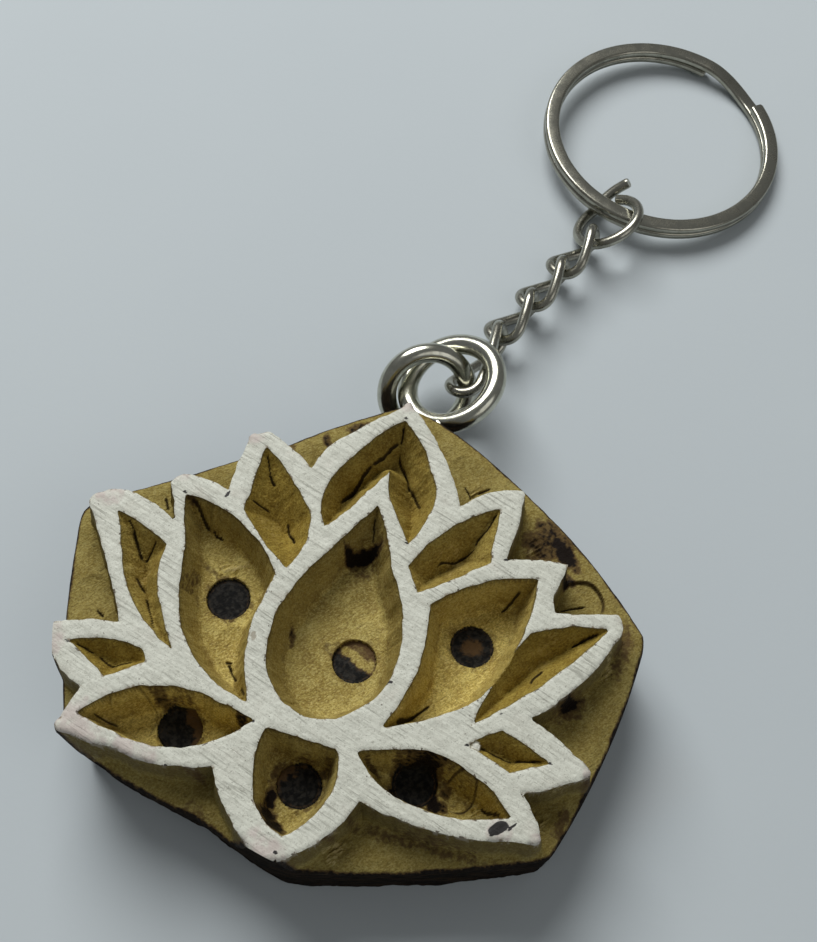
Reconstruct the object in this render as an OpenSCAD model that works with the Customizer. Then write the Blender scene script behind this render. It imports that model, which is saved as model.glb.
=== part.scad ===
// Carved wooden printing-block keychain: a lotus block with a screw eye, a jump ring,
// a short curb chain, a connecting ring and a flat two-coil split ring.
// Millimetres. The origin is the centre of the block's underside, +Z points out of the
// carved face, and +Y points from the flower's foot to the screw eye.

/* [Block] */
// Height of the carved face above the underside
face_z = 12.5; // [11:0.1:15]
// Height of the cut-back ground around the flower
ground_z = 9; // [7.5:0.1:10]
// Height of the floors inside the petals
floor_z = 7.5; // [6.5:0.1:8.5]
// Thickness of the white paint on the raised lines
paint_t = 0.15; // [0.1:0.05:0.3]
// Radius of the flat-bottomed drill pits
pit_r = 1.85; // [1.2:0.05:2]
// Depth of the pits below a petal floor
pit_depth = 0.8; // [0.3:0.1:1]

/* [Screw eye] */
// Wire diameter of the eye
eye_wire = 1.9; // [1.5:0.1:2]
// Radius of the eye's centre line
eye_r = 4.3; // [4:0.05:4.4]
// How far the eye is turned about its own shank
eye_roll = 22.5; // [20:0.5:25]
// Length of the shank beyond the wood's edge
shank_l = 12; // [8:0.5:15]

/* [Rings] */
// Wire diameter of the jump ring
jump_wire = 1.8; // [1.5:0.1:1.8]
// Radius of the jump ring's centre line
jump_r = 3.85; // [3.8:0.05:3.9]
// Wire diameter of the connecting ring
conn_wire = 1.05; // [0.9:0.05:1.1]
// Radius of the connecting ring's centre line
conn_r = 3.25; // [3.2:0.05:3.3]
// Outer radius of the split ring
split_r = 12.5; // [12:0.1:13]
// Width of the split ring's wire, from its inner to its outer edge
split_w = 1.5; // [1.3:0.05:1.6]
// Height of one coil of the split ring
split_h = 0.8; // [0.7:0.05:0.8]

/* [Chain] */
// Wire diameter of the chain links
link_wire = 1.0; // [0.9:0.05:1]
// Overall length of one curb link
link_l = 7.2; // [7.1:0.1:7.3]
// Overall width of one curb link
link_w = 4.9; // [4.8:0.1:5]
// Distance from one link to the next
link_pitch = 5.0; // [4.9:0.1:5]
// Heading of the chain, measured from +Y towards +X
chain_heading = 25.6; // [25:0.1:26]

/* [Hidden] */
$fn = 64;

// Corners are [x, y, rise]. Each edge runs to the next corner as an arc whose middle
// stands out by rise to the left, which is outwards because every outline runs clockwise.
block_corners = [
    [-0.2, 20.5, 0], [3.1, 19.6, 0.3], [12.8, 14.3, 0.5], [24, 4.8, 0.1], [24.2, 3, 0.6],
    [20.4, -14, 0.2], [19.4, -15, 0.5], [1.5, -20.5, 0.1], [-0.5, -20.5, 0.1],
    [-7, -18.6, 0.3], [-18.8, -15.5, 0.6], [-24.2, 2.6, 0.2], [-23.8, 4.3, 0], [-9.4, 13.9, 0.2]];

flower_corners = [
    [0.4, 18.9, 0.1], [1, 18.2, 0.5], [6.9, 10.4, 0.5], [11.4, 13.1, 0.1], [11.8, 12.8, 0.2],
    [11.5, 6.7, 0.2], [16.5, 7.7, 0.1], [15.9, 5, -0.1], [16.3, 3.4, -0.1],
    [21.2, 4.5, 0.3], [21.7, 2.8, 0.6], [16.2, -5.5, 0.1], [21.3, -8.1, 0.2],
    [21.2, -8.8, 0.2], [16.7, -11.2, 0.2], [18.8, -14.1, 0.2], [18.3, -14.7, -0.1],
    [15.4, -15.2, 0.5], [5.1, -14.9, 0.4], [1.5, -19.8, 0.1], [0.3, -20.6, 0.2],
    [-1.2, -20.6, 0.1], [-2.4, -19.8, 0.3], [-6.3, -15.1, 0.6], [-14, -15.7, 0.1],
    [-18.3, -15.5, 0.4], [-18.6, -14.5, 0.1], [-17.9, -11.8, 0.2], [-21.2, -9.9, 0.2],
    [-22, -8.1, 0.3], [-21.2, -7.3, 0.2], [-16.8, -6.2, -0.2], [-22.3, 2.3, 0.5],
    [-22, 4.2, 0.2], [-20.3, 4.7, 0.3], [-15.5, 3.2, -0.1], [-16.8, 6.2, 0.3],
    [-15.9, 7.4, 0.2], [-12, 6.8, 0.1], [-11.8, 11.8, 0.3], [-11.2, 12.5, 0.2],
    [-9.8, 12.7, 0.2], [-6, 10.5, 0.4], [-3.4, 14.8, 0], [-0.6, 17.6, 0]];

heart_petal = [[0.2, 8.7, 0.3], [2.6, 3.9, 0.5], [5.1, -2.7, 0.6], [3.5, -7.8, 0.6],
               [-0.7, -9.7, 0.6], [-4.6, -6.8, 0.4], [-5, -1.5, 0.3], [-2.4, 4.1, 0]];
top_petal = [[0.5, 16.9, 0.4], [3.7, 12.9, 0.5], [4.6, 9.4, 0.2], [3.5, 6.1, 0.1],
             [0.8, 10.1, 0.1], [0.4, 12.1, 0.1], [-0.9, 9.8, 0.2], [-3.5, 5.8, 0.3],
             [-4.4, 8.8, 0.3], [-2.8, 12.6, 0.3]];
left_inner_petal = [[-10.2, 11.6, 0.3], [-4.9, 6.6, 0.6], [-5.5, 1.5, 0.2], [-10.3, 5.5, 0]];
left_petal = [[-15.3, 5.6, 0.6], [-9, 3.6, 0.3], [-6.2, 0.8, 0], [-6.8, -3.4, -0.1],
              [-6.3, -7, -0.1], [-5.1, -9.8, 0.9], [-12, -5.4, 0.3], [-13.8, 1, 0.1]];
left_outer_petal = [[-20.2, 2.9, 0.2], [-15.3, 1, -0.2], [-15, -2.5, -0.1],
                    [-12.1, -7.3, 0.7], [-18.1, -1.8, 0]];
left_leaf = [[-20.2, -8.6, 0.4], [-14.6, -7.7, 0.2], [-13.8, -8.8, 0], [-16.5, -10.7, -0.1]];
left_foot_petal = [[-17.5, -13.8, 0.6], [-12, -10.2, 0.3], [-7.4, -10.3, 0.1],
                   [-4.3, -11, 0.2], [-8, -14, 0.5], [-14, -14.6, 0.1]];
foot_petal = [[-3.3, -11.3, 0], [2.3, -11.5, 0.3], [3, -14.3, 0.5], [0.3, -18.8, 0.3],
              [-2.6, -16.8, 0.4]];
right_foot_petal = [[3.9, -11.3, 0.2], [9.5, -9.9, 0.7], [16.4, -13.2, 0], [12.9, -14.2, 0.2],
                    [7.5, -13.9, 0.3]];
right_petal = [[6.5, 1.5, 0.8], [14.4, 5.8, 0.3], [13.9, -0.5, 0.6], [10.7, -6.2, 0.2],
               [5.2, -9.1, -0.3], [6.9, -3, -0.1]];
right_inner_petal = [[4, 4.2, 0.9], [10.2, 11.1, -0.1], [10.4, 6.2, 0.1], [5.2, 2.2, 0]];
right_outer_petal = [[20.7, 3.1, 0.6], [11.9, -7.1, 0.3], [14.7, 1.2, 0.4]];
right_leaf = [[12, -8.7, 0.1], [14.3, -6.9, 0.1], [18.3, -8.5, 0], [15.5, -10, 0]];

petals = [heart_petal, top_petal, left_inner_petal, left_petal, left_outer_petal, left_leaf,
          left_foot_petal, foot_petal, right_foot_petal, right_petal, right_inner_petal,
          right_outer_petal, right_leaf];

// Centres of the drill pits in the petal floors
pits = [[1.5, -3.3], [-10, -0.8], [10.5, 0.4], [-10.4, -12.2], [0, -14.1], [8.7, -11.7]];
// Centre of the shallow drill mark in the ground on the right
ground_mark = [18.4, 6.1];
ground_mark_depth = 0.4;

eye_centre = [2.95, 25.15, 5.65];
eye_core_r = 0.7;
thread_pitch = 0.8;
shank_tip = 1.5;

jump_centre = [0.85, 24.65, 3.9];
jump_lift_heading = 118;
jump_lift = 50;
jump_gap = 3;

// The first link stands on edge in the jump ring; its far tip hooks into the second link
first_link_tip = [6.2, 33.92, 2.2];
first_link_l = 10.5;
first_link_w = 4.32;
first_link_roll = 113.5;
first_link_twist = -94;
first_link_rise = -14.3;
first_link_yaw = 10.1;

// Centre of the second link, and the curb shape shared by links two to four
chain_start = [7.03, 35.63, 2.45];
curb_roll = 120;
curb_twist = -90;

conn_centre = [13.7, 49.15, 2.47];
conn_lift_heading = -20;
conn_lift = 34.2;
conn_start = 84;
conn_sweep = 372;
conn_opening = 1.85;
conn_rise = -0.3;

split_centre = [17.13, 61.83, 1.83];
split_lift_heading = 203;
split_lift = 4.5;
split_start = 38;

nickel = [0.62, 0.61, 0.58];
wood = [0.72, 0.58, 0.33];
white = [0.9, 0.89, 0.86];

// Points of the arc from a towards b, without b itself
function arc_points(a, b, rise, steps) =
    abs(rise) < 0.01 ? [a] :
    let (chord = norm(b - a), out = [a.y - b.y, b.x - a.x] / chord,
         radius = (chord * chord / 4 + rise * rise) / (2 * rise),
         centre = (a + b) / 2 - out * (radius - rise),
         sweep = 4 * atan(2 * rise / chord), from = a - centre)
    [for (i = [0:steps - 1]) let (t = -sweep * i / steps)
        centre + [from.x * cos(t) - from.y * sin(t), from.x * sin(t) + from.y * cos(t)]];

// A whole outline from its [x, y, rise] corners
function outline(corners) =
    [for (i = [0:len(corners) - 1])
        let (a = corners[i], b = corners[(i + 1) % len(corners)])
        each arc_points([a.x, a.y], [b.x, b.y], a.z, 6)];

function unit(v) = v / norm(v);

// Section of a round wire with the given number of sides
function round_section(r, sides) =
    [for (i = [0:sides - 1]) r * [cos(360 * i / sides), sin(360 * i / sides)]];

// A wire swept along points. Each section point is [across, up], and ups holds the
// wanted up direction at each point. A closed wire joins its last ring to its first.
module wire(points, ups, section, closed) {
    n = len(points);
    m = len(section);
    verts = [for (i = [0:n - 1])
        let (before = points[closed ? (i + n - 1) % n : max(i - 1, 0)],
             after = points[closed ? (i + 1) % n : min(i + 1, n - 1)],
             along = unit(after - before),
             across = unit(cross(ups[i], along)),
             up = cross(along, across))
        for (s = section) points[i] + across * s.x + up * s.y];
    sides = [for (i = [0:(closed ? n - 1 : n - 2)]) for (j = [0:m - 1])
        let (k = (i + 1) % n, l = (j + 1) % m)
        [i * m + j, k * m + j, k * m + l, i * m + l]];
    ends = closed ? [] : [[for (j = [0:m - 1]) j],
                          [for (j = [m - 1:-1:0]) (n - 1) * m + j]];
    polyhedron(verts, concat(sides, ends), convexity = 6);
}

// Turns a ring so that its edge towards heading rises by lift degrees
module raised(heading, lift) {
    rotate([0, 0, heading]) rotate([0, -lift, 0]) rotate([0, 0, -heading]) children();
}

module flower() {
    polygon(outline(flower_corners));
}

module petal_hollows(from, to) {
    for (petal = petals) translate([0, 0, from]) linear_extrude(to - from)
        polygon(outline(petal));
}

module printing_block() {
    color(wood) difference() {
        union() {
            linear_extrude(ground_z) polygon(outline(block_corners));
            linear_extrude(face_z - paint_t) flower();
        }
        petal_hollows(floor_z, face_z + 1);
        for (p = pits) translate([p.x, p.y, floor_z - pit_depth])
            cylinder(r = pit_r, h = pit_depth + 1);
        translate([ground_mark.x, ground_mark.y, ground_z - ground_mark_depth])
            cylinder(r = pit_r, h = 1);
        // Bore for the eye's shank, from the wood's edge inwards
        translate([eye_centre.x, eye_centre.y, eye_centre.z]) rotate([90, 0, 0])
            cylinder(d = eye_wire, h = eye_r + shank_l + shank_tip);
    }
}

module face_paint() {
    color(white) difference() {
        translate([0, 0, face_z - paint_t]) linear_extrude(paint_t) flower();
        petal_hollows(floor_z, face_z + 1);
    }
}

// The shank's saw-tooth profile, from its plain neck to its point
module shank_profile() {
    crest = eye_wire / 2;
    neck = 3;
    turns = floor((shank_l - neck) / thread_pitch);
    polygon(concat([[0, 0], [crest, 0], [crest, neck]],
        [for (i = [0:turns - 1]) each [
            [eye_core_r, neck + thread_pitch * (i + 0.4)],
            [crest, neck + thread_pitch * (i + 1)]]],
        [[eye_core_r, neck + thread_pitch * turns + 0.3], [0, shank_l + shank_tip]]));
}

module screw_eye() {
    color(nickel) translate(eye_centre) {
        rotate([0, -eye_roll, 0]) rotate_extrude() translate([eye_r, 0]) circle(d = eye_wire);
        translate([0, -eye_r, 0]) rotate([90, 0, 0]) rotate_extrude() shank_profile();
    }
}

module jump_ring() {
    color(nickel) translate(jump_centre) raised(jump_lift_heading, jump_lift)
        rotate([0, 0, -90]) rotate_extrude(angle = 360 - jump_gap)
            translate([jump_r, 0]) circle(d = jump_wire);
}

// Centre line of a link along X: a racetrack traced from the middle of one side
function link_point(t, length, width) =
    let (end_r = (width - link_wire) / 2, half = (length - width) / 2,
         round = PI * end_r, walk = t * (4 * half + 2 * round))
    walk < 2 * half ? [walk - half, -end_r] :
    walk < 2 * half + round ?
        let (a = (walk - 2 * half) / end_r * 180 / PI - 90)
        [half + end_r * cos(a), end_r * sin(a)] :
    walk < 4 * half + round ? [3 * half + round - walk, end_r] :
        let (a = (walk - 4 * half - round) / end_r * 180 / PI + 90)
        [-half + end_r * cos(a), end_r * sin(a)];

// A link along X, twisted about X so that its two ends stand at different rolls
module chain_link(length, width, roll, twist) {
    steps = 36;
    flat = [for (i = [0:steps - 1]) link_point(i / steps, length, width)];
    turns = [for (p = flat) roll + twist * p.x / (length - link_wire)];
    wire([for (i = [0:steps - 1]) [flat[i].x, flat[i].y * cos(turns[i]), flat[i].y * sin(turns[i])]],
         [for (t = turns) [0, -sin(t), cos(t)]],
         round_section(link_wire / 2, 10), true);
}

module curb_link(index) {
    run = link_pitch * index;
    color(nickel)
        translate(chain_start + run * [sin(chain_heading), cos(chain_heading), 0])
        rotate([0, 0, 90 - chain_heading])
        chain_link(link_l, link_w, curb_roll, curb_twist);
}

module chain_link_1() {
    color(nickel) translate(first_link_tip)
        rotate([0, 0, 90 - chain_heading + first_link_yaw]) rotate([0, -first_link_rise, 0])
        translate([-(first_link_l - link_wire) / 2, 0, 0])
        chain_link(first_link_l, first_link_w, first_link_roll, first_link_twist);
}

module chain_link_2() { curb_link(0); }

module chain_link_3() { curb_link(1); }

module chain_link_4() { curb_link(2); }

// The wire runs clockwise from its inner end and opens outwards towards its free tip
module connecting_ring() {
    steps = 56;
    path = [for (i = [0:steps])
        let (q = i / steps, a = conn_start - conn_sweep * q, free = max(0, q - 0.84) / 0.16,
             r = conn_r + conn_opening * pow(free, 1.5))
        [r * cos(a), r * sin(a), conn_rise * (q - 0.5) + free]];
    color(nickel) translate(conn_centre) raised(conn_lift_heading, conn_lift)
        wire(path, [for (p = path) [0, 0, 1]], round_section(conn_wire / 2, 12), false);
}

// Two flat coils of one wire: the upper coil steps down to the lower one at the joggle
module split_ring() {
    coil_gap = 0.05;
    drop = split_h + coil_gap;
    upper = 325;
    joggle = 31;
    total = 685;
    c = 0.12;
    w = split_w / 2;
    h = split_h / 2;
    section = [[w, -h + c], [w, h - c], [w - c, h], [c - w, h],
               [-w, h - c], [-w, c - h], [c - w, -h], [w - c, -h]];
    travel = concat([for (a = [0:5:upper]) a], [for (i = [1:8]) upper + joggle * i / 8],
                    [for (a = [upper + joggle + 4:5:total]) a]);
    path = [for (a = travel)
        let (s = min(1, max(0, (a - upper) / joggle)), z = drop * (0.5 - s * s * (3 - 2 * s)))
        [(split_r - w) * cos(split_start - a), (split_r - w) * sin(split_start - a), z]];
    color(nickel) translate(split_centre) raised(split_lift_heading, split_lift)
        wire(path, [for (p = path) [0, 0, 1]], section, false);
}

printing_block();
face_paint();
screw_eye();
jump_ring();
chain_link_1();
chain_link_2();
chain_link_3();
chain_link_4();
connecting_ring();
split_ring();
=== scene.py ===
"""Keychain: a carved lotus printing block with a screw eye, jump ring, curb chain and split ring.

Lengths below are millimetres in the CAD's own frame; meshes are made in metres.
"""
import math

import bpy
import numpy as np
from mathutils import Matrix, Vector


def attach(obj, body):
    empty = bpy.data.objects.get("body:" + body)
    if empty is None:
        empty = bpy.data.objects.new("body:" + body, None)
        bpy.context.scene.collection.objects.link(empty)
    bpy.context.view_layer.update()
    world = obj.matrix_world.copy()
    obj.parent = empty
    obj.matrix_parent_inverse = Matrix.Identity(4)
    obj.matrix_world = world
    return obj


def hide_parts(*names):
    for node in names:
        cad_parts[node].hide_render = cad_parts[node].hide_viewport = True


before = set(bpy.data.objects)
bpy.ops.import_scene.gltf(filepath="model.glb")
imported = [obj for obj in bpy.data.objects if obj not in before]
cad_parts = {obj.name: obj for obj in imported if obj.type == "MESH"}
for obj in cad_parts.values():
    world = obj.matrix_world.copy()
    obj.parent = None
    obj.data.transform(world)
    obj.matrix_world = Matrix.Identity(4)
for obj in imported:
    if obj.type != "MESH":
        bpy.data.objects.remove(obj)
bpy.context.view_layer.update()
MM = 0.001

# ---------------------------------------------------------------- outlines
# Corners are [x, y, rise]; each edge is an arc that stands out by rise.
BLOCK = [
    [-0.2, 20.5, 0], [3.1, 19.6, 0.3], [12.8, 14.3, 0.5], [24, 4.8, 0.1], [24.2, 3, 0.6],
    [20.4, -14, 0.2], [19.4, -15, 0.5], [1.5, -20.5, 0.1], [-0.5, -20.5, 0.1],
    [-7, -18.6, 0.3], [-18.8, -15.5, 0.6], [-24.2, 2.6, 0.2], [-23.8, 4.3, 0], [-9.4, 13.9, 0.2]]
FLOWER = [
    [0.4, 18.9, 0.1], [1, 18.2, 0.5], [6.9, 10.4, 0.5], [11.4, 13.1, 0.1], [11.8, 12.8, 0.2],
    [11.5, 6.7, 0.2], [16.5, 7.7, 0.1], [15.9, 5, -0.1], [16.3, 3.4, -0.1],
    [21.2, 4.5, 0.3], [21.7, 2.8, 0.6], [16.2, -5.5, 0.1], [21.3, -8.1, 0.2],
    [21.2, -8.8, 0.2], [16.7, -11.2, 0.2], [18.8, -14.1, 0.2], [18.3, -14.7, -0.1],
    [15.4, -15.2, 0.5], [5.1, -14.9, 0.4], [1.5, -19.8, 0.1], [0.3, -20.6, 0.2],
    [-1.2, -20.6, 0.1], [-2.4, -19.8, 0.3], [-6.3, -15.1, 0.6], [-14, -15.7, 0.1],
    [-18.3, -15.5, 0.4], [-18.6, -14.5, 0.1], [-17.9, -11.8, 0.2], [-21.2, -9.9, 0.2],
    [-22, -8.1, 0.3], [-21.2, -7.3, 0.2], [-16.8, -6.2, -0.2], [-22.3, 2.3, 0.5],
    [-22, 4.2, 0.2], [-20.3, 4.7, 0.3], [-15.5, 3.2, -0.1], [-16.8, 6.2, 0.3],
    [-15.9, 7.4, 0.2], [-12, 6.8, 0.1], [-11.8, 11.8, 0.3], [-11.2, 12.5, 0.2],
    [-9.8, 12.7, 0.2], [-6, 10.5, 0.4], [-3.4, 14.8, 0], [-0.6, 17.6, 0]]
# Each petal: its corners, then how its floor is cut: wall slope, rounding at the foot, and tone
# from pale (1, painted light that brightens the floor) to golden (-1)
PETALS = {
    "heart": ([[0.2, 8.7, 0.3], [2.6, 3.9, 0.5], [5.1, -2.7, 0.6], [3.5, -7.8, 0.6],
               [-0.7, -9.7, 0.6], [-4.6, -6.8, 0.4], [-5, -1.5, 0.3], [-2.4, 4.1, 0]], 4.2, 2.2, 0),
    "top": ([[0.5, 16.9, 0.4], [3.7, 12.9, 0.5], [4.6, 9.4, 0.2], [3.5, 6.1, 0.1],
             [0.8, 10.1, 0.1], [0.4, 12.1, 0.1], [-0.9, 9.8, 0.2], [-3.5, 5.8, 0.3],
             [-4.4, 8.8, 0.3], [-2.8, 12.6, 0.3]], 2.0, 0.5, -0.7),
    "left_inner": ([[-10.2, 11.6, 0.3], [-4.9, 6.6, 0.6], [-5.5, 1.5, 0.2],
                    [-10.3, 5.5, 0]], 1.45, 0.5, -0.9),
    "left": ([[-15.3, 5.6, 0.6], [-9, 3.6, 0.3], [-6.2, 0.8, 0], [-6.8, -3.4, -0.1],
              [-6.3, -7, -0.1], [-5.1, -9.8, 0.9], [-12, -5.4, 0.3], [-13.8, 1, 0.1]], 4.5, 2.2, 0.45),
    "left_outer": ([[-20.2, 2.9, 0.2], [-15.3, 1, -0.2], [-15, -2.5, -0.1],
                    [-12.1, -7.3, 0.7], [-18.1, -1.8, 0]], 1.7, 0.5, -0.6),
    "left_leaf": ([[-20.2, -8.6, 0.4], [-14.6, -7.7, 0.2], [-13.8, -8.8, 0],
                   [-16.5, -10.7, -0.1]], 1.7, 0.5, -1),
    "left_foot": ([[-17.5, -13.8, 0.6], [-12, -10.2, 0.3], [-7.4, -10.3, 0.1],
                   [-4.3, -11, 0.2], [-8, -14, 0.5], [-14, -14.6, 0.1]], 5.5, 1.6, 0.9),
    "foot": ([[-3.3, -11.3, 0], [2.3, -11.5, 0.3], [3, -14.3, 0.5], [0.3, -18.8, 0.3],
              [-2.6, -16.8, 0.4]], 5.5, 1.6, 0.3),
    "right_foot": ([[3.9, -11.3, 0.2], [9.5, -9.9, 0.7], [16.4, -13.2, 0], [12.9, -14.2, 0.2],
                    [7.5, -13.9, 0.3]], 5.5, 1.5, 0.5),
    "right": ([[6.5, 1.5, 0.8], [14.4, 5.8, 0.3], [13.9, -0.5, 0.6], [10.7, -6.2, 0.2],
               [5.2, -9.1, -0.3], [6.9, -3, -0.1]], 4.5, 2.2, 0.85),
    "right_inner": ([[4, 4.2, 0.9], [10.2, 11.1, -0.1], [10.4, 6.2, 0.1],
                     [5.2, 2.2, 0]], 1.6, 0.5, -0.6),
    "right_outer": ([[20.7, 3.1, 0.6], [11.9, -7.1, 0.3], [14.7, 1.2, 0.4]], 1.6, 0.5, -1),
    "right_leaf": ([[12, -8.7, 0.1], [14.3, -6.9, 0.1], [18.3, -8.5, 0], [15.5, -10, 0]],
                   1.8, 0.4, -0.9)}

FACE_Z, GROUND_Z, FLOOR_Z, PAINT_T = 12.5, 9.0, 7.5, 0.15
PIT_R, PIT_DEPTH = 1.85, 0.8
# Drill pits: x, y, how far each is burnt
PITS = [(1.5, -3.3, 0.45), (-10, -0.8, 1.0), (10.5, 0.4, 0.85), (-10.4, -12.2, 0.95),
        (0, -14.1, 1.0), (8.7, -11.7, 1.0)]
# Knife cuts: start, end, width and depth
CUTS = [
    ((0.5, 16.6), (0.5, 15.6), 0.12, 0.3), ((0.4, 15.6), (-1.4, 13.2), 0.13, 0.4),
    ((-1.4, 13.2), (-3.1, 9.2), 0.14, 0.4), ((0.5, 15), (1.9, 12.6), 0.12, 0.4),
    ((1.9, 12.6), (3.7, 10.3), 0.13, 0.4), ((-10.2, 11.4), (-9.4, 9.6), 0.1, 0.2),
    ((-9.4, 9.6), (-8.7, 8.9), 0.15, 0.3), ((-10.4, 6.7), (-8.5, 6.8), 0.13, 0.3),
    ((-7, 6.3), (-5.7, 4.3), 0.14, 0.4), ((-15.1, 5.9), (-13.2, 4.5), 0.16, 0.5),
    ((-13, 4.4), (-11.9, 3.9), 0.12, 0.3), ((-8.6, -6.1), (-8, -6), 0.12, 0.3),
    ((-8.4, -6.2), (-7, -7.6), 0.13, 0.4), ((-6.4, -8.3), (-5.7, -9.1), 0.12, 0.3),
    ((-20, 3.1), (-18.6, 1.8), 0.1, 0.2), ((-18.7, 1.9), (-17.3, -0.1), 0.16, 0.45),
    ((-17.2, -0.2), (-16.4, 1.3), 0.1, 0.25), ((-17.2, -1.9), (-16.1, -2.8), 0.13, 0.35),
    ((-16, -3.2), (-14.5, -5.5), 0.1, 0.3), ((-14.5, -5.5), (-12.9, -6.8), 0.1, 0.25),
    ((-20, -8.5), (-18.2, -8.8), 0.11, 0.3), ((-17.8, -8.9), (-16.7, -9.4), 0.12, 0.3),
    ((-16.7, -9.4), (-15, -8.7), 0.11, 0.3), ((0.2, 8.1), (0.5, 6.4), 0.1, 0.2),
    ((9.9, 10.8), (8.8, 8.1), 0.11, 0.25), ((8.8, 8.1), (6.2, 5.6), 0.11, 0.3),
    ((13.3, 5.2), (12.2, 3.8), 0.12, 0.3), ((8.4, -5.3), (6, -7.9), 0.15, 0.45),
    ((20, 2.8), (18.2, 1.6), 0.11, 0.3), ((16.4, -0.9), (15.6, -2.3), 0.14, 0.35),
    ((12.9, -8.5), (15.7, -8.7), 0.12, 0.3), ((15.7, -8.7), (17.9, -8.3), 0.13, 0.3),
    ((14.1, -12.3), (15.6, -12.9), 0.12, 0.25), ((6.6, 14), (7.5, 12.8), 0.1, 0.2),
    ((7.9, 13.5), (8.8, 14.3), 0.12, 0.25), ((16.8, 5.1), (18.9, 5.9), 0.1, 0.3),
    ((-20, -4.6), (-19.2, -5.2), 0.11, 0.25), ((-17.8, 6.3), (-17.1, 5.2), 0.14, 0.35),
    ((-16.7, -13.3), (-15.1, -13.2), 0.1, 0.2)]
# Burnt patches: x, y, radius along and across, turn in degrees, strength
BURNS = [
    # The first four darken the hollow at the heart's tip: partly burn, partly painted shade in the hollow
    (-0.1, 5.5, 1.5, 0.5, 27, 1.0), (-1.2, 4.8, 0.4, 0.65, 20, 1.0), (0.9, 5.9, 0.8, 0.45, 10, 0.7),
    (0.1, 4.4, 1.5, 0.7, 27, 0.35), (-3.95, -2.8, 0.22, 0.75, 12, 0.7),
    (-0.6, -3.0, 0.7, 0.4, -40, 0.35), (-13, -0.7, 0.4, 1.3, -5, 0.33),
    (-12.2, 1.2, 0.9, 0.4, -30, 0.3), (-15, 5.9, 0.7, 0.35, -45, 0.7),
    (14.7, 10.9, 1.7, 2.0, -40, 0.7), (16, 10.2, 0.7, 1.7, 42, 1.0), (14, 12, 0.8, 0.4, -40, 0.7),
    (16.8, 7.2, 0.3, 0.9, -35, 0.95), (17.1, 7.8, 0.8, 0.35, -35, 0.75),
    (22.4, 3, 0.7, 2.4, 0, 0.45), (19.2, -2.7, 1.35, 0.4, 40, 1.0), (19.3, -3.2, 1.5, 0.7, 42, 0.5),
    (21.4, -8.3, 0.5, 0.8, 0, 0.6), (-3.6, 17, 1.0, 0.5, 30, 0.75), (-5.9, 15, 0.35, 0.85, 25, 0.65),
    (-8.8, 13.6, 0.35, 0.5, 0, 0.55), (-11.8, -10.8, 1.1, 0.5, -20, 0.6),
    (-10.2, -12.6, 1.3, 1.1, 0, 0.85), (-5.4, -10.8, 0.5, 0.3, -20, 0.8),
    (-1.85, -15.7, 0.42, 1.0, 5, 1.0), (-1.6, -17, 0.55, 0.8, 25, 1.0),
    (-0.8, -17.8, 0.75, 0.45, -30, 1.0), (-1.8, -13.9, 0.5, 1.3, 0, 0.5),
    (1.8, -12.6, 0.5, 0.8, 0, 0.4), (8.9, -11.4, 2.0, 1.7, 0, 1.0), (10.4, -12.7, 0.5, 0.9, 25, 1.0),
    (7.4, -12.8, 0.9, 0.45, -25, 0.75), (9.2, -9.9, 2.4, 0.5, -8, 0.7),
    (10.9, -12.9, 0.8, 0.4, -10, 0.9), (5.3, -11.6, 0.8, 0.25, -25, 0.5),
    (12.2, -11.7, 1.2, 1.2, 0, 0.22), (10.1, -16.2, 6, 0.5, 0, 0.35),
    (-16.5, 7.9, 1.2, 0.5, 20, 0.3), (-7.8, -15.7, 0.9, 0.3, -10, 0.45),
    (-7.2, -18, 1.2, 0.5, -25, 0.3), (20.4, -12, 0.5, 1.2, -10, 0.45),
    (3.2, -17.8, 0.6, 0.4, 0, 0.35), (9.1, 1.1, 0.3, 0.5, 0, 0.3)]
# Shallow round gouges: x, y, radius, depth, how dark their rim is
GOUGES = [
    (1.3, 1.5, 1.5, 0.2, 0), (-1.7, -0.5, 2.1, 0.18, 0), (0.5, -6.4, 2.4, 0.22, 0),
    (-2.7, -5.3, 1.8, 0.18, 0), (-8.2, -4.6, 1.7, 0.2, 0), (-11.4, 2.6, 1.5, 0.2, 0),
    (8.8, -3.8, 2.0, 0.2, 0), (12, 1.9, 1.6, 0.2, 0.2), (-14, -12.4, 1.65, 0.25, 0.55),
    (12.2, -11.75, 1.3, 0.3, 0.9), (0.6, -17.2, 1.2, 0.2, 0), (19.6, -4.9, 1.7, 0.35, 0.15),
    (14, 9.6, 1.5, 0.25, 0), (6.5, 15.2, 1.6, 0.2, 0), (-20.5, -3.8, 2, 0.25, 0),
    (9.2, -17, 2.4, 0.25, 0), (-8.6, -17.1, 1.8, 0.2, 0), (18.6, -11.7, 1.7, 0.35, 0.2),
    (-18.6, 5.9, 1.3, 0.2, 0), (-8.2, 13.2, 1.5, 0.2, 0), (18.4, 6.1, 1.9, 0.12, 0.75)]
# Torn, fibrous patches: x, y, radius
CHIPS = [
    (-7.6, 5.6, 1.9), (-17, -1.4, 1.2), (-16.6, -9.2, 1.2), (7.6, 6.3, 2), (16.4, 0.2, 2),
    (13.5, 9.2, 1.5), (19.2, -9.9, 1.6), (17.9, -13.2, 1.5), (6.6, -7.4, 1.3), (13.8, -12.6, 1.2),
    (-10.4, 1.9, 1.5), (8, 12.9, 1.1), (-15.9, -13.3, 1), (-6.5, -11.4, 0.9), (21.2, 1.2, 1.2),
    (4, -18, 1.5), (14, -8.2, 0.9)]
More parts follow.
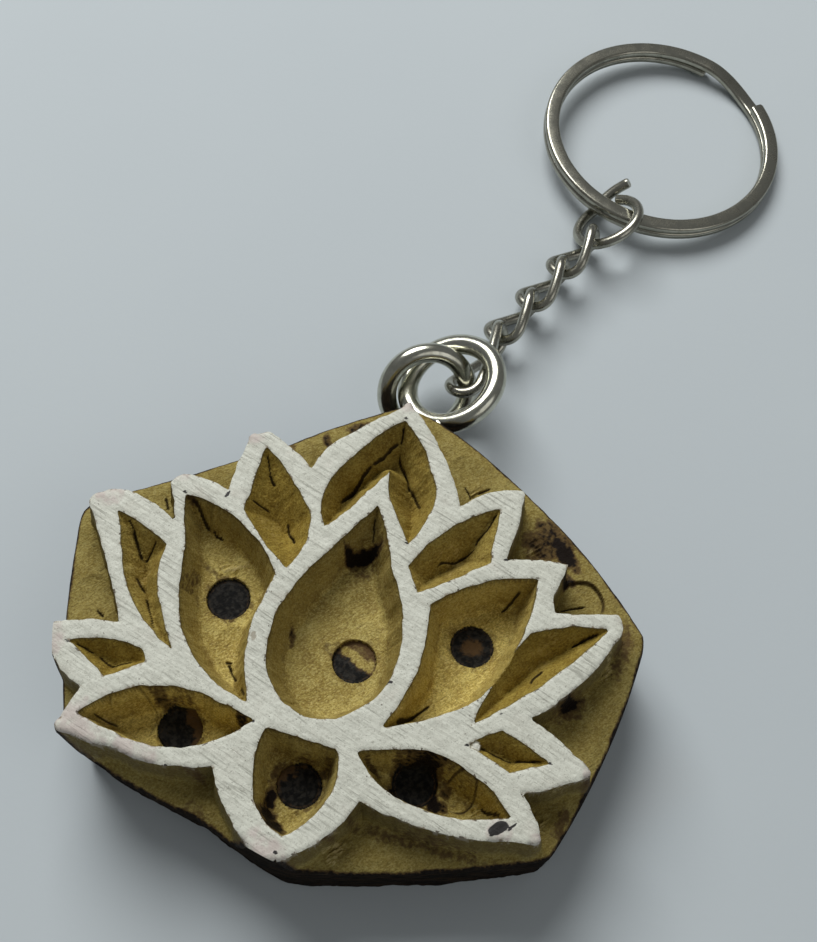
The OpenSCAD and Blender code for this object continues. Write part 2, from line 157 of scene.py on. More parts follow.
# Worn, pinkish ends of the painted lines, and dark marks and bare spots on the paint
WORN = [
    (-18.2, -15, 2.6), (-12.5, -15.9, 2), (-0.6, -20.4, 2.2), (-21.6, 4, 1.5), (0.4, 18.6, 1.2),
    (15.6, -14.3, 1.3), (-21.6, -8.6, 1.6), (-16.4, 7, 1), (-11.3, 12.2, 1), (18.6, -14.4, 0.9),
    (21.4, -8.5, 0.8), (-15.6, -15.9, 1.6)]
SPOTS = [
    (15.6, -14.15, 0.8, 0.42, 48, 1), (16.55, -13.8, 0.5, 0.09, 55, 1), (3.4, 6.1, 0.16, 0.12, 0, 1),
    (11.55, 6.75, 0.28, 0.1, 20, 1), (-11.95, 6.45, 0.14, 0.4, -20, 1),
    (4.95, -5.5, 0.3, 0.1, 15, 0.9), (11.9, -8.75, 0.2, 0.12, 0, 0.8),
    (-15.4, 5.75, 0.2, 0.12, 0, 0.9), (-9.7, -16, 0.16, 0.14, 0, 0.9), (0.1, -20, 0.2, 0.15, 0, 0.9),
    (18.35, -8.5, 0.2, 0.12, 0, 0.8), (-4.4, -11.05, 0.3, 0.1, -15, 0.8),
    (-20.2, -8.7, 0.3, 0.1, -20, 0.7), (0.5, 17.1, 0.14, 0.14, 0, 0.9),
    (-6.3, -4.6, 0.2, 0.45, 12, 0.35), (-14.1, -8.8, 0.16, 0.4, 10, 0.5),
    (13.9, -5.7, 0.2, 0.1, 30, 0.6)]
GROUND_MARK = (18.4, 6.1, 1.9)
BEAD = (12.55, -8.62, 0.42)   # a drop of paint: x, y, radius
PIT_BROWN = [(0.41, 0.91), (0, 0), (0, 0), (0.8, 0.5), (-0.6, 0.3), (0, 0)]  # which side is browner


def arc_outline(corners, spacing=0.5):
    """Closed loop of points through the corners, each edge bulging left by its rise."""
    loop = []
    for (ax, ay, rise), (bx, by, _) in zip(corners, corners[1:] + corners[:1]):
        a, b = np.array([ax, ay]), np.array([bx, by])
        chord = np.linalg.norm(b - a)
        n = max(2, math.ceil(chord / spacing))
        t = np.arange(n) / n
        if abs(rise) < 0.01:
            loop.append(a + (b - a) * t[:, None])
            continue
        out = np.array([ay - by, bx - ax]) / chord
        radius = (chord ** 2 / 4 + rise ** 2) / (2 * rise)
        centre = (a + b) / 2 - out * (radius - rise)
        turn = -4 * math.atan(2 * rise / chord) * t
        start = a - centre
        loop.append(centre + np.stack([start[0] * np.cos(turn) - start[1] * np.sin(turn),
                                       start[0] * np.sin(turn) + start[1] * np.cos(turn)], 1))
    return np.concatenate(loop)


def roughen(loop, amount, seed):
    """The loop pushed in and out by seeded noise along its own normal."""
    ahead = np.roll(loop, -1, 0) - np.roll(loop, 1, 0)
    out = np.stack([ahead[:, 1], -ahead[:, 0]], 1) / np.linalg.norm(ahead, axis=1)[:, None]
    along = np.cumsum(np.linalg.norm(loop - np.roll(loop, 1, 0), axis=1))
    push = value_noise(along, along * 0, 0.9, seed) + 0.6 * value_noise(along, along * 0, 0.35, seed + 50)
    return loop + out * (amount * push)[:, None]


def circle(x, y, r, n=72):
    t = 2 * math.pi * np.arange(n) / n
    return np.stack([x + r * np.cos(t), y + r * np.sin(t)], 1)


def signed_distance(points, loop, reach=3.0):
    """Distance to the loop, positive inside, and the nearest point. Far points get +-reach."""
    dist = np.full(len(points), -reach)
    nearest = points.copy()
    lo, hi = loop.min(0) - reach, loop.max(0) + reach
    todo = np.flatnonzero(((points > lo) & (points < hi)).all(1))
    a, b = loop, np.roll(loop, -1, 0)
    edge = b - a
    edge_sq = (edge ** 2).sum(1)
    for part in np.array_split(todo, max(1, len(todo) * len(loop) // 4000000)):
        if not len(part):
            continue
        p = points[part]
        w = p[:, None] - a[None]
        t = np.clip((w * edge).sum(2) / edge_sq, 0, 1)
        away = w - t[..., None] * edge
        d2 = (away ** 2).sum(2)
        k = d2.argmin(1)
        row = np.arange(len(part))
        crosses = (a[:, 1] > p[:, 1:2]) != (b[:, 1] > p[:, 1:2])
        slope = np.where(edge[:, 1] == 0, 1, edge[:, 1])
        hit = p[:, 0:1] < a[:, 0] + (p[:, 1:2] - a[:, 1]) * edge[:, 0] / slope
        inside = (crosses & hit).sum(1) % 2 == 1
        d = np.sqrt(d2[row, k])
        dist[part] = np.where(inside, d, -d)
        nearest[part] = p - away[row, k]
    return dist, nearest


def value_noise(x, y, size, seed):
    """Smooth seeded noise between -1 and 1, with features about size wide."""
    table = np.random.default_rng(seed).random((64, 64)) * 2 - 1
    u, v = x / size, y / size
    i, j = np.floor(u).astype(int), np.floor(v).astype(int)
    fu, fv = u - i, v - j
    fu, fv = fu * fu * (3 - 2 * fu), fv * fv * (3 - 2 * fv)
    at = lambda p, q: table[(i + p) % 64, (j + q) % 64]
    return (at(0, 0) * (1 - fu) + at(1, 0) * fu) * (1 - fv) + (at(0, 1) * (1 - fu) + at(1, 1) * fu) * fv


def ellipse(x, y, centre, radii, turn):
    """Distance from a turned ellipse's centre, 1 on its outline."""
    c, s = math.cos(math.radians(turn)), math.sin(math.radians(turn))
    dx, dy = x - centre[0], y - centre[1]
    return np.hypot((dx * c + dy * s) / radii[0], (dy * c - dx * s) / radii[1])


def smooth_max(a, b, k):
    """The larger of two heights, with a fillet k high where they cross."""
    h = np.maximum(k - np.abs(a - b), 0) / k
    return np.maximum(a, b) + h * h * k / 4


def step(a, b, x):
    """Smooth step from 0 at a to 1 at b."""
    t = np.clip((x - a) / (b - a), 0, 1)
    return t * t * (3 - 2 * t)


def make_mesh(name, verts, faces, masks=None, sharp=None):
    """Object from millimetre vertices. masks is {attribute: values per vertex}."""
    mesh = bpy.data.meshes.new(name)
    mesh.from_pydata((np.asarray(verts) * MM).tolist(), [], [list(map(int, f)) for f in faces])
    mesh.validate()
    mesh.update()
    for poly in mesh.polygons:
        poly.use_smooth = True
    if sharp:
        mesh.set_sharp_from_angle(angle=math.radians(sharp))
    for key, values in (masks or {}).items():
        mesh.attributes.new(key, "FLOAT", "POINT").data.foreach_set("value", np.asarray(values, float))
    obj = bpy.data.objects.new(name, mesh)
    bpy.context.scene.collection.objects.link(obj)
    return obj


# ---------------------------------------------------------------- the block
def carve_block():
    """Height-field block: a grid snapped to every rim, with carved floors, cuts and pits."""
    cell = 0.125
    loops = {"block": arc_outline(BLOCK), "flower": roughen(arc_outline(FLOWER, 0.22), 0.07, 101)}
    petals = {k: roughen(arc_outline(v[0], 0.22), 0.06, 102 + n) for n, (k, v) in enumerate(PETALS.items())}
    xs, ys = np.arange(-24.75, 24.8, cell), np.arange(-20.9, 20.95, cell)
    gx, gy = np.meshgrid(xs, ys, indexing="ij")
    shape = gx.shape
    p = np.stack([gx.ravel(), gy.ravel()], 1)
    fixed = np.zeros(len(p), bool)

    def snap(loop, reach, within=0.5):
        d, near = signed_distance(p, loop, reach)
        close = (np.abs(d) < within * cell) & ~fixed
        p[close] = near[close]
        fixed[close] = True
        d[close] = 0
        return d

    d_block = snap(loops["block"], 2.5)
    d_flower = snap(loops["flower"], 4.0)
    d_petal = np.full(len(p), -9.0)
    which = np.zeros(len(p), int)
    for n, loop in enumerate(petals.values(), 1):
        d = snap(loop, 6.0)
        better = d > d_petal
        d_petal[better], which[better] = d[better], n
    d_pit = np.full(len(p), -9.0)
    pit_of = np.zeros(len(p), int)
    for n, (x, y, _) in enumerate(PITS):
        d = snap(circle(x, y, PIT_R), 2.0, 0.45)
        better = d > d_pit
        d_pit[better], pit_of[better] = d[better], n
    x, y = p[:, 0], p[:, 1]

    bumps = (0.10 * value_noise(x, y, 2.3, 1) + 0.05 * value_noise(x, y, 0.9, 2)
             + 0.025 * value_noise(x, y, 0.35, 3))
    fibres = 0.03 * value_noise(x * 1.6 + y * 0.5, y * 0.35 - x * 0.1, 0.4, 4)
    tools = np.zeros(len(p))
    rims = np.zeros(len(p))
    for cx, cy, r, depth, dark in GOUGES:
        rr = np.hypot(x - cx, y - cy) / r + 0.06 * value_noise(x, y, 0.9, 16)
        tools -= depth * np.clip(1 - rr ** 2, 0, 1) - 0.04 * np.exp(-((rr - 1.03) / 0.06) ** 2)
        broken = step(-0.7, 0.3, value_noise(x, y, 1.3, 17) + 0.6 * ((x - cx) + (y - cy)) / r)
        rims = np.maximum(rims, dark * broken * np.exp(-((rr - 1.0) / 0.085) ** 2))
    torn = np.zeros(len(p))
    for cx, cy, r in CHIPS:
        rr = np.hypot(x - cx, y - cy) / r + 0.5 * value_noise(x, y, 0.8, 18)
        torn = np.maximum(torn, step(1.0, 0.3, rr))
    splinters = (value_noise(x * 1.4 - y, x + y * 1.4, 0.5, 19) * 0.6
                 + value_noise((x + y) * 0.35, (x - y) * 1.9, 0.4, 20)) * torn
    relief = bumps + fibres + tools + 0.2 * splinters - 0.1 * rims

    # The cut-back ground: near-vertical flower walls, sloping off at the block's edge
    worn = np.zeros(len(p))
    for wx, wy, r in WORN:
        rr = np.hypot(x - wx, y - wy) / r + 0.3 * value_noise(x, y, 0.9, 24)
        worn = np.maximum(worn, step(1.15, 0.5, rr))
    rim_gap = np.minimum(np.abs(d_petal), np.abs(d_flower))
    top = FACE_Z - PAINT_T - (0.03 + 0.2 * worn) * np.clip(1 - np.abs(d_flower) / 0.5, 0, 1) ** 2
    ground = GROUND_Z - 0.25 + relief
    ground -= 0.35 * step(1.3, 0, d_block) + 0.3 * np.clip(1 - d_block / 0.35, 0, 1) ** 2
    ring = np.hypot(x - GROUND_MARK[0], y - GROUND_MARK[1])
    ground -= 0.35 * step(GROUND_MARK[2] + 0.05, GROUND_MARK[2] - 0.1, ring)
    rough_wall = 0.12 * value_noise(x, y, 0.7, 5)
    outer = top + (d_flower + rough_wall * step(0, 0.3, -d_flower)) * 8.5
    z_ground = smooth_max(ground, np.minimum(outer, top), 0.5)

    slope = np.array([0] + [v[1] for v in PETALS.values()])[which]
    fillet = np.array([1] + [v[2] for v in PETALS.values()])[which]
    floor = FLOOR_Z + 0.55 + relief
    heart = which == 1
    floor[heart] += (1.9 * step(4.6, 7.5, y[heart]) - 0.55 * np.exp(
        -((x[heart] + 0.2) ** 2 / 1.6 + (y[heart] - 5.2) ** 2 / 0.5)))
    wall_noise = (0.10 * value_noise(x, y, 0.8, 6) + 0.05 * value_noise(x, y, 0.3, 7))
    inner = top - slope * np.maximum(d_petal + wall_noise * step(0, 0.4, d_petal), 0) * (
        1 + 0.12 * value_noise(x, y, 3.1, 8))
    z_petal = smooth_max(floor, inner, np.maximum(fillet, 0.05))
    in_pit = d_pit > 0
    pit_floor = FLOOR_Z + 0.15 + 0.02 * value_noise(x, y, 0.3, 9) + 0.015 * np.cos(
        np.maximum(PIT_R - d_pit, 0) * 14)
    pit_cut = np.where(in_pit, np.maximum(pit_floor, z_petal - 0.35 * step(0, 0.12, d_pit) - 0.3), 99)
    reach_pit = in_pit & (z_petal < FLOOR_Z + 1.6)
    z_petal = np.where(reach_pit, np.minimum(z_petal, pit_cut), z_petal)

    in_petal, in_flower = d_petal > 0, d_flower > 0
    z = np.where(in_petal, z_petal, np.where(in_flower, top, z_ground))
    on_rim = (np.abs(d_petal) < 1e-9) | (np.abs(d_flower) < 1e-9)
    at_rim = on_rim & (d_flower > -1e-9)
    z[at_rim] = top[at_rim]

    # Painted shade for the knife cuts, carried by the cut mask
    cut_shade = np.zeros(len(p))
    for (ax, ay), (bx, by), width, depth in CUTS:
        e = np.array([bx - ax, by - ay])
        t = np.clip(((x - ax) * e[0] + (y - ay) * e[1]) / (e @ e), 0, 1)
        wob = 0.25 * value_noise(t * 2.5 + ax, t * 0 + ay, 1, 10)
        dist = np.hypot(x - ax - t * e[0] + wob * e[1] / 5, y - ay - t * e[1] - wob * e[0] / 5)
        taper = np.clip(np.minimum(t, 1 - t) * 6 + 0.25, 0, 1)
        broken = 0.85 + 0.35 * value_noise(x, y, 0.45, 15)
        hit = np.clip(1 - dist / (width * 1.15), 0, 1) * taper * broken
        free = (z < top - 0.4)
        z -= depth * hit * free
        cut_shade = np.maximum(cut_shade, np.clip(hit * 2.2, 0, 1) * free)

    burn = np.zeros(len(p))
    wander = 0.35 * value_noise(x, y, 0.8, 11) + 0.2 * value_noise(x, y, 0.3, 12)
    for bx, by, ra, rb, turn, strength in BURNS:
        r = ellipse(x, y, (bx, by), (ra, rb), turn) + wander * 0.8
        burn = np.maximum(burn, strength * step(1.6, 0.5, r))
    edge_burn = step(0.34, 0.08, d_block + 0.12 * wander + 0.1 * value_noise(x, y, 1.9, 23)) * (d_block < 2)
    burn = np.maximum(burn, 0.95 * edge_burn * ~in_petal)
    # Painted shade: the floors darken at the walls' feet and in sharp corners, where the walls meet the
    # floor
    foot = np.exp(-((inner - floor) / 0.5) ** 2) * in_petal * step(0.1, 0.5, d_petal)
    char, brown = np.zeros(len(p)), np.zeros(len(p))
    ragged = value_noise(x, y, 0.5, 13) * 0.5 + value_noise(x, y, 0.22, 25) * 0.3
    for n, (px, py, amount) in enumerate(PITS):
        here = reach_pit & (pit_of == n)
        r = np.hypot(x - px, y - py)
        level = amount * np.ones(len(p))
        ux, uy = PIT_BROWN[n]
        side = (x - px) * ux + (y - py) * uy + (0.7 if n else 0.35) * ragged
        if n == 0:   # the heart's pit is burnt on its lower left half, with a pale streak beside it
            level = (0.16 + 0.84 * step(0.12, -0.3, side) + 0.42 * step(0.55, 1.0, side)
                     + 0.5 * step(1.4, 1.75, r) + 0.25 * ragged * step(-0.2, 0.3, side))
            brown = np.where(here, np.clip(0.1 + 0.8 * step(-0.5, 0.3, side), 0, 1), brown)
        elif ux:
            brown = np.where(here, 0.8 * step(0.3, 1.1, side), brown)
        elif n == 2:
            brown = np.where(here, 0.75 * step(1.25, 0.4, r + 0.5 * ragged), brown)
        groove = 0.35 * np.exp(-((r - 1.6) / 0.09) ** 2) + 0.2 * np.exp(-((r - 1.1 - 0.1 * n) / 0.07) ** 2)
        brown = np.where(here, np.maximum(brown, groove), brown)
        char = np.where(here, np.clip(level, 0, 1), char)
        halo = np.exp(-(np.maximum(r - PIT_R, 0) / 0.35) ** 2) * ~here * in_petal
        burn = np.maximum(burn, 0.45 * amount * halo * (0.6 + wander))

    bead = np.hypot(x - BEAD[0], y - BEAD[1]) / BEAD[2]
    z = np.where(in_petal & (bead < 1.3), np.maximum(z, np.minimum(top - 0.35, z + 3.2) + 0.3 * np.sqrt(
        np.clip(1 - bead ** 2, 0, 1)) - 9 * np.clip(bead - 1, 0, 1)), z)

    keep = d_block >= -1e-9
    index = np.arange(len(p)).reshape(shape)
    a, b = index[:-1, :-1].ravel(), index[1:, :-1].ravel()
    c, d = index[1:, 1:].ravel(), index[:-1, 1:].ravel()

    def side_sum(q, r):
        total = np.zeros(len(q), int)
        for f in (d_flower, d_petal, d_pit, d_block):
            total += (np.sign(f[q]) * np.sign(f[r]) < 0).astype(int)
        return total
    use_bd = side_sum(a, c) > side_sum(b, d)
    zero = lambda q: ((np.abs(d_flower[q]) < 1e-9).astype(int) + (np.abs(d_petal[q]) < 1e-9)
                      + (np.abs(d_pit[q]) < 1e-9) + (np.abs(d_block[q]) < 1e-9))
    tie = side_sum(a, c) == side_sum(b, d)
    use_bd |= tie & (zero(b) + zero(d) > zero(a) + zero(c))
    tris = np.concatenate([
        np.stack([a, b, c], 1)[~use_bd], np.stack([a, c, d], 1)[~use_bd],
        np.stack([a, b, d], 1)[use_bd], np.stack([b, c, d], 1)[use_bd]])
    tris = tris[keep[tris].all(1)]
    q = p[tris]
    area = np.cross(q[:, 1] - q[:, 0], q[:, 2] - q[:, 0])
    tris = tris[area > 1e-6]

    spots, bare = np.zeros(len(p)), np.zeros(len(p))
    for sx, sy, ra, rb, turn, strength in SPOTS:
        hit = step(1.25, 0.75, ellipse(x, y, (sx, sy), (ra, rb), turn) + 0.4 * ragged)
        if strength > 0.55:
            spots = np.maximum(spots, strength * hit)
        else:
            bare = np.maximum(bare, hit)
    tones = np.array([0.1] + [petal[3] for petal in PETALS.values()])
    over_floor = z - floor
    masks = {
        "burn": burn, "cut": cut_shade, "char": char, "foot": foot, "brown": brown, "rims": rims,
        "worn": worn, "spots": spots, "bare": bare, "rim_gap": rim_gap, "top": top,
        "torn": torn * np.clip(0.5 + splinters, 0, 1),
        "tone": tones[which] * in_petal,
        "bead": step(1.1, 0.9, bead) * in_petal,
        "wall_paint": (step(0.5, 0.1, FACE_Z - z + 0.3 * value_noise(x, y, 1.1, 14))
                       + worn * step(0.7, 0.25, FACE_Z - z) * 0.2) * ~in_petal * ~in_flower,
        "ground": (~in_petal).astype(float),
        "outer_wall": step(0.2, 1.2, z_ground - ground) * ~in_petal,
        "rim": np.exp(-rim_gap / 0.14),
        "wall": (0.75 * step(0.35, 0.95, over_floor + 0.2 * ragged)
                 + 0.25 * np.clip(over_floor / 3, 0, 1)) * np.where(fillet > 2, 1, 0.45) * in_petal,
        "side": np.zeros(len(p))}
    band = (d_flower[tris].min(1) >= -1e-9) & (d_petal[tris].max(1) <= 1e-9)
    return np.column_stack([p, z]), tris, masks, band


def boundary_loops(tris):
    """Ordered boundary loops of a triangle list, walking with the surface on the left."""
    edges = np.concatenate([tris[:, [0, 1]], tris[:, [1, 2]], tris[:, [2, 0]]])
    seen = {(int(a), int(b)) for a, b in edges}
    after = {}
    for a, b in seen:
        if (b, a) not in seen:
            after.setdefault(a, []).append(b)
    loops = []
    while after:
        start = next(iter(after))
        loop = [start]
        while True:
            here = loop[-1]
            nxt = after[here].pop()
            if not after[here]:
                del after[here]
            if nxt == start:
                break
            loop.append(nxt)
            if nxt not in after:
                break
        loops.append(loop)
    return loops


def compact(count, tris):
    """The vertices that the triangles use, out of count, and the triangles renumbered."""
    used = np.unique(tris)
    remap = np.full(count, -1)
    remap[used] = np.arange(len(used))
    return used, remap[tris]


verts, tris, masks, band = carve_block()
used, wood_tris = compact(len(verts), tris)
wood_verts = verts[used]
WOOD_MASKS = ("tone", "bead", "burn", "cut", "char", "foot", "brown", "rims", "torn", "wall_paint",
              "wall", "side", "ground", "outer_wall")
wood_masks = {k: masks[k][used] for k in WOOD_MASKS}
rim_loop = max(boundary_loops(wood_tris), key=len)
block_loop = arc_outline(BLOCK)
rim = wood_verts[rim_loop]
_, on_outline = signed_distance(rim[:, :2], block_loop, 2.0)
wood_verts[rim_loop, :2] = on_outline
rim = wood_verts[rim_loop]

# Side walls from the rim down, with knife facets and bevels, and the flat underside
ahead = np.roll(rim[:, :2], -3, 0) - np.roll(rim[:, :2], 3, 0)
outward = np.stack([ahead[:, 1], -ahead[:, 0]], 1) / np.linalg.norm(ahead, axis=1)[:, None]
length = np.concatenate([[0], np.cumsum(np.linalg.norm(np.diff(rim[:, :2], axis=0), axis=1))])
levels = 26
side_verts, side_masks = [], {k: [] for k in wood_masks}
for i in range(1, levels + 1):
    f = i / levels
    z = rim[:, 2] * (1 - f)
    inset = 0.10 + 0.10 * value_noise(length, z * 0.6, 3.1, 21) + 0.07 * value_noise(length, z * 2, 0.6, 22)
    inset = np.clip(inset, 0.0, 0.4) * min(1, i / 2) + 0.3 * max(0, f - 0.94) / 0.06
    inset += 0.45 * f * step(-1, -9, rim[:, 0]) * step(-4, -13, rim[:, 1])   # the lower left side leans in
    side_verts.append(np.column_stack([rim[:, :2] - outward * inset[:, None], z]))
    for k in side_masks:
        side_masks[k].append(np.full(len(rim), 1.0 if k == "side" else 0.0))
base = len(wood_verts)
n_rim = len(rim)
faces = wood_tris.tolist()
ring_of = [list(rim_loop)] + [list(range(base + i * n_rim, base + (i + 1) * n_rim)) for i in range(levels)]
for upper, lower in zip(ring_of, ring_of[1:]):
    for j in range(n_rim):
        k = (j + 1) % n_rim
        faces.append([upper[k], upper[j], lower[j], lower[k]])
centre_index = base + levels * n_rim
for j in range(n_rim):
    faces.append([ring_of[-1][(j + 1) % n_rim], ring_of[-1][j], centre_index])
wood_verts = np.concatenate([wood_verts, *side_verts, [[0, 0, 0]]])
wood_masks = {k: np.concatenate([v, *side_masks[k], [1.0 if k == "side" else 0.0]])
              for k, v in wood_masks.items()}
block = make_mesh("printing_block_carved", wood_verts, faces, wood_masks, sharp=38)

# The paint film: the flower's raised band, with its edge folded down onto the wood
used, paint_tris = compact(len(verts), tris[band])
paint_verts = verts[used].copy()
px, py = paint_verts[:, 0], paint_verts[:, 1]
base_top = masks["top"][used]
dip = 0.03 + 0.02 * value_noise(px, py, 0.5, 31) + 0.012 * value_noise(px * 0.5 + py, py - px, 0.22, 32)
dip += 0.07 * np.clip(1 - masks["rim_gap"][used] / 0.28, 0, 1) ** 2
paint_verts[:, 2] = base_top + PAINT_T - np.clip(dip, 0, 0.12)
paint_faces = paint_tris.tolist()
paint_masks = {k: masks[k][used] for k in ("rim", "worn", "spots", "bare")}
extra, extra_of = [], []

for loop in boundary_loops(paint_tris):
    start = len(paint_verts) + len(extra)
    extra.extend([[*paint_verts[v, :2], base_top[v] - 0.05] for v in loop])
    extra_of.extend(loop)
    for j in range(len(loop)):
        k = (j + 1) % len(loop)
        paint_faces.append([loop[k], loop[j], start + j, start + k])
paint_verts = np.concatenate([paint_verts, extra])
paint_masks = {k: np.concatenate([v, v[extra_of]]) for k, v in paint_masks.items()}
paint = make_mesh("face_paint_film", paint_verts, paint_faces, paint_masks, sharp=50)


# ---------------------------------------------------------------- wire parts
def unit(v):
    return v / np.linalg.norm(v, axis=-1, keepdims=True)


def turn_z(deg):
    c, s = math.cos(math.radians(deg)), math.sin(math.radians(deg))
    return np.array([[c, -s, 0], [s, c, 0], [0, 0, 1]])


def turn_y(deg):
    c, s = math.cos(math.radians(deg)), math.sin(math.radians(deg))
    return np.array([[c, 0, s], [0, 1, 0], [-s, 0, c]])


def raised(heading, lift):
    """Tilts a flat ring so that its edge towards heading rises by lift degrees."""
    return turn_z(heading) @ turn_y(-lift) @ turn_z(-heading)


def sweep(points, ups, section, closed):
    """A wire through the points. section is [across, up], a little smaller at a cut end."""
    pts = np.asarray(points, float)
    n, m = len(pts), len(section)
    if closed:
        along = unit(np.roll(pts, -1, 0) - np.roll(pts, 1, 0))
    else:
        along = unit(np.gradient(pts, axis=0))
    across = unit(np.cross(ups, along))
    up = np.cross(along, across)
    k = np.ones(n)
    if not closed:
        k[0] = k[-1] = 0.88
    rings = (pts[:, None] + across[:, None] * section[None, :, :1] * k[:, None, None]
             + up[:, None] * section[None, :, 1:] * k[:, None, None])
    faces = []
    for i in range(n if closed else n - 1):
        i2 = (i + 1) % n
        faces += [[i * m + j, i2 * m + j, i2 * m + (j + 1) % m, i * m + (j + 1) % m] for j in range(m)]
    if not closed:
        faces += [list(range(m)), list(range((n - 1) * m, n * m))[::-1]]
    return rings.reshape(-1, 3), faces


def round_section(radius, sides=28):
    t = 2 * math.pi * np.arange(sides) / sides
    return radius * np.stack([np.cos(t), np.sin(t)], 1)


def flat_section(width, height, corner, per_corner=5):
    """Rectangle with rounded corners."""
    pts = []
    for cx, cy, start in ((1, 1, 0), (-1, 1, 90), (-1, -1, 180), (1, -1, 270)):
        for i in range(per_corner):
            t = math.radians(start + 90 * i / (per_corner - 1))
            pts.append([cx * (width / 2 - corner) + corner * math.cos(t),
                        cy * (height / 2 - corner) + corner * math.sin(t)])
    return np.array(pts)


def torus_points(r, n=220, gap=0.0):
    """A circle's points; gap is an opening in degrees."""
    t = np.radians(gap / 2 - 90 + (360 - gap) * np.arange(n + (gap > 0)) / n)
    return np.stack([r * np.cos(t), r * np.sin(t), 0 * t], 1)


def racetrack(length, width, wire, n):
    """A link's flat centre line, long axis along X."""
    r, half = (width - wire) / 2, (length - width) / 2
    total = 4 * half + 2 * math.pi * r
    pts = []
    for walk in np.arange(n) / n * total:
        if walk < 2 * half:
            pts.append([walk - half, -r])
        elif walk < 2 * half + math.pi * r:
            a = (walk - 2 * half) / r - math.pi / 2
            pts.append([half + r * math.cos(a), r * math.sin(a)])
        elif walk < 4 * half + math.pi * r:
            pts.append([3 * half + math.pi * r - walk, r])
        else:
            a = (walk - 4 * half - math.pi * r) / r + math.pi / 2
            pts.append([-half + r * math.cos(a), r * math.sin(a)])
    return np.array(pts)


def link_shape(length, width, roll, twist, n=132):
    """A twisted link's centre line and up vectors."""
    flat = racetrack(length, width, LINK_WIRE, n)
    t = np.radians(roll + twist * flat[:, 0] / (length - LINK_WIRE))
    pts = np.stack([flat[:, 0], flat[:, 1] * np.cos(t), flat[:, 1] * np.sin(t)], 1)
    return pts, np.stack([0 * t, -np.sin(t), np.cos(t)], 1)


def place(points, ups, turn, move):
    """Points turned and moved, and their up vectors turned."""
    return points @ turn.T + np.asarray(move), ups @ turn.T


def place_flat(points, turn, move):
    """The same for a wire that is drawn flat."""
    return place(points, np.tile([0.0, 0.0, 1.0], (len(points), 1)), turn, move)


def make_link(number, shape, turn, move):
    section = round_section(LINK_WIRE / 2)
    return make_mesh(f"chain_link_{number}_wire", *sweep(*place(*shape, turn, move), section, True))


# Screw eye: the eye, a neck and a threaded shank with a true helical thread
EYE_WIRE, EYE_R, EYE_CENTRE, EYE_ROLL = 1.9, 4.3, np.array([2.95, 25.15, 5.65]), 22.5
SHANK_L, SHANK_TIP, CORE_R, PITCH = 12.0, 1.5, 0.7, 0.8
hoop = place_flat(torus_points(EYE_R), turn_y(-EYE_ROLL), EYE_CENTRE)
eye_verts, eye_faces = sweep(*hoop, round_section(EYE_WIRE / 2, 36), True)
turns, down = 48, 260
shank, shank_faces = [], []
for i in range(down + 1):
    d = (SHANK_L + SHANK_TIP) * i / down
    for j in range(turns):
        a = 2 * math.pi * j / turns
        phase = ((d - 3) / PITCH - j / turns) % 1.0
        thread = CORE_R + (EYE_WIRE / 2 - 0.02 - CORE_R) * max(0, 1 - abs(phase - 0.5) * 2.6)
        r = EYE_WIRE / 2 - 0.02 if d < 3 else thread
        r += (EYE_WIRE / 2 - 0.02 - r) * max(0.0, 1 - abs(d - 3) / 0.5) * (d >= 3)
        r *= min(1.0, max(0.02, (SHANK_L + SHANK_TIP - d) / 1.8))
        shank.append([EYE_CENTRE[0] + r * math.cos(a), EYE_CENTRE[1] - EYE_R - d,
                      EYE_CENTRE[2] + r * math.sin(a)])
for i in range(down):
    for j in range(turns):
        k = (j + 1) % turns
        shank_faces.append([i * turns + j, i * turns + k, (i + 1) * turns + k, (i + 1) * turns + j])
shank_faces.append(list(range(turns))[::-1])
shank_faces.append(list(range(down * turns, (down + 1) * turns)))
offset = len(eye_verts)
eye = make_mesh("screw_eye_wire", np.concatenate([eye_verts, shank]),
                eye_faces + [[offset + v for v in f] for f in shank_faces], sharp=45)

# Jump ring, its cut ends butted together
JUMP_R, JUMP_WIRE, JUMP_GAP = 3.85, 1.8, 2.2
JUMP_CENTRE, JUMP_HEADING, JUMP_LIFT = [0.85, 24.65, 3.9], 118, 50
hoop = torus_points(JUMP_R, 200, gap=JUMP_GAP)
hoop = place_flat(hoop, raised(JUMP_HEADING, JUMP_LIFT), JUMP_CENTRE)
jump = make_mesh("jump_ring_wire", *sweep(*hoop, round_section(JUMP_WIRE / 2, 36), False), sharp=45)

# Four links: the first hooks the jump ring, the rest are the curb chain
CHAIN_HEADING, LINK_PITCH, LINK_WIRE = 25.6, 5.0, 1.0
HOOK_LENGTH, HOOK_WIDTH, HOOK_ROLL, HOOK_TWIST = 10.5, 4.32, 113.5, -94
HOOK_END, HOOK_TURN, HOOK_DIP = [6.2, 33.92, 2.2], 10.1, 14.3
CURB_LENGTH, CURB_WIDTH, CURB_ROLL, CURB_TWIST = 7.2, 4.9, 120, -90
CHAIN_START = np.array([7.03, 35.63, 2.45])
pts, ups = link_shape(HOOK_LENGTH, HOOK_WIDTH, HOOK_ROLL, HOOK_TWIST, n=180)
pts[:, 0] -= (HOOK_LENGTH - LINK_WIRE) / 2
along_chain = turn_z(90 - CHAIN_HEADING)
hook_turn = turn_z(90 - CHAIN_HEADING + HOOK_TURN) @ turn_y(HOOK_DIP)
links = [make_link(1, (pts, ups), hook_turn, HOOK_END)]
for i in range(3):
    curb = link_shape(CURB_LENGTH, CURB_WIDTH, CURB_ROLL, CURB_TWIST)
    links.append(make_link(i + 2, curb, along_chain, CHAIN_START + LINK_PITCH * i * along_chain[:, 0]))

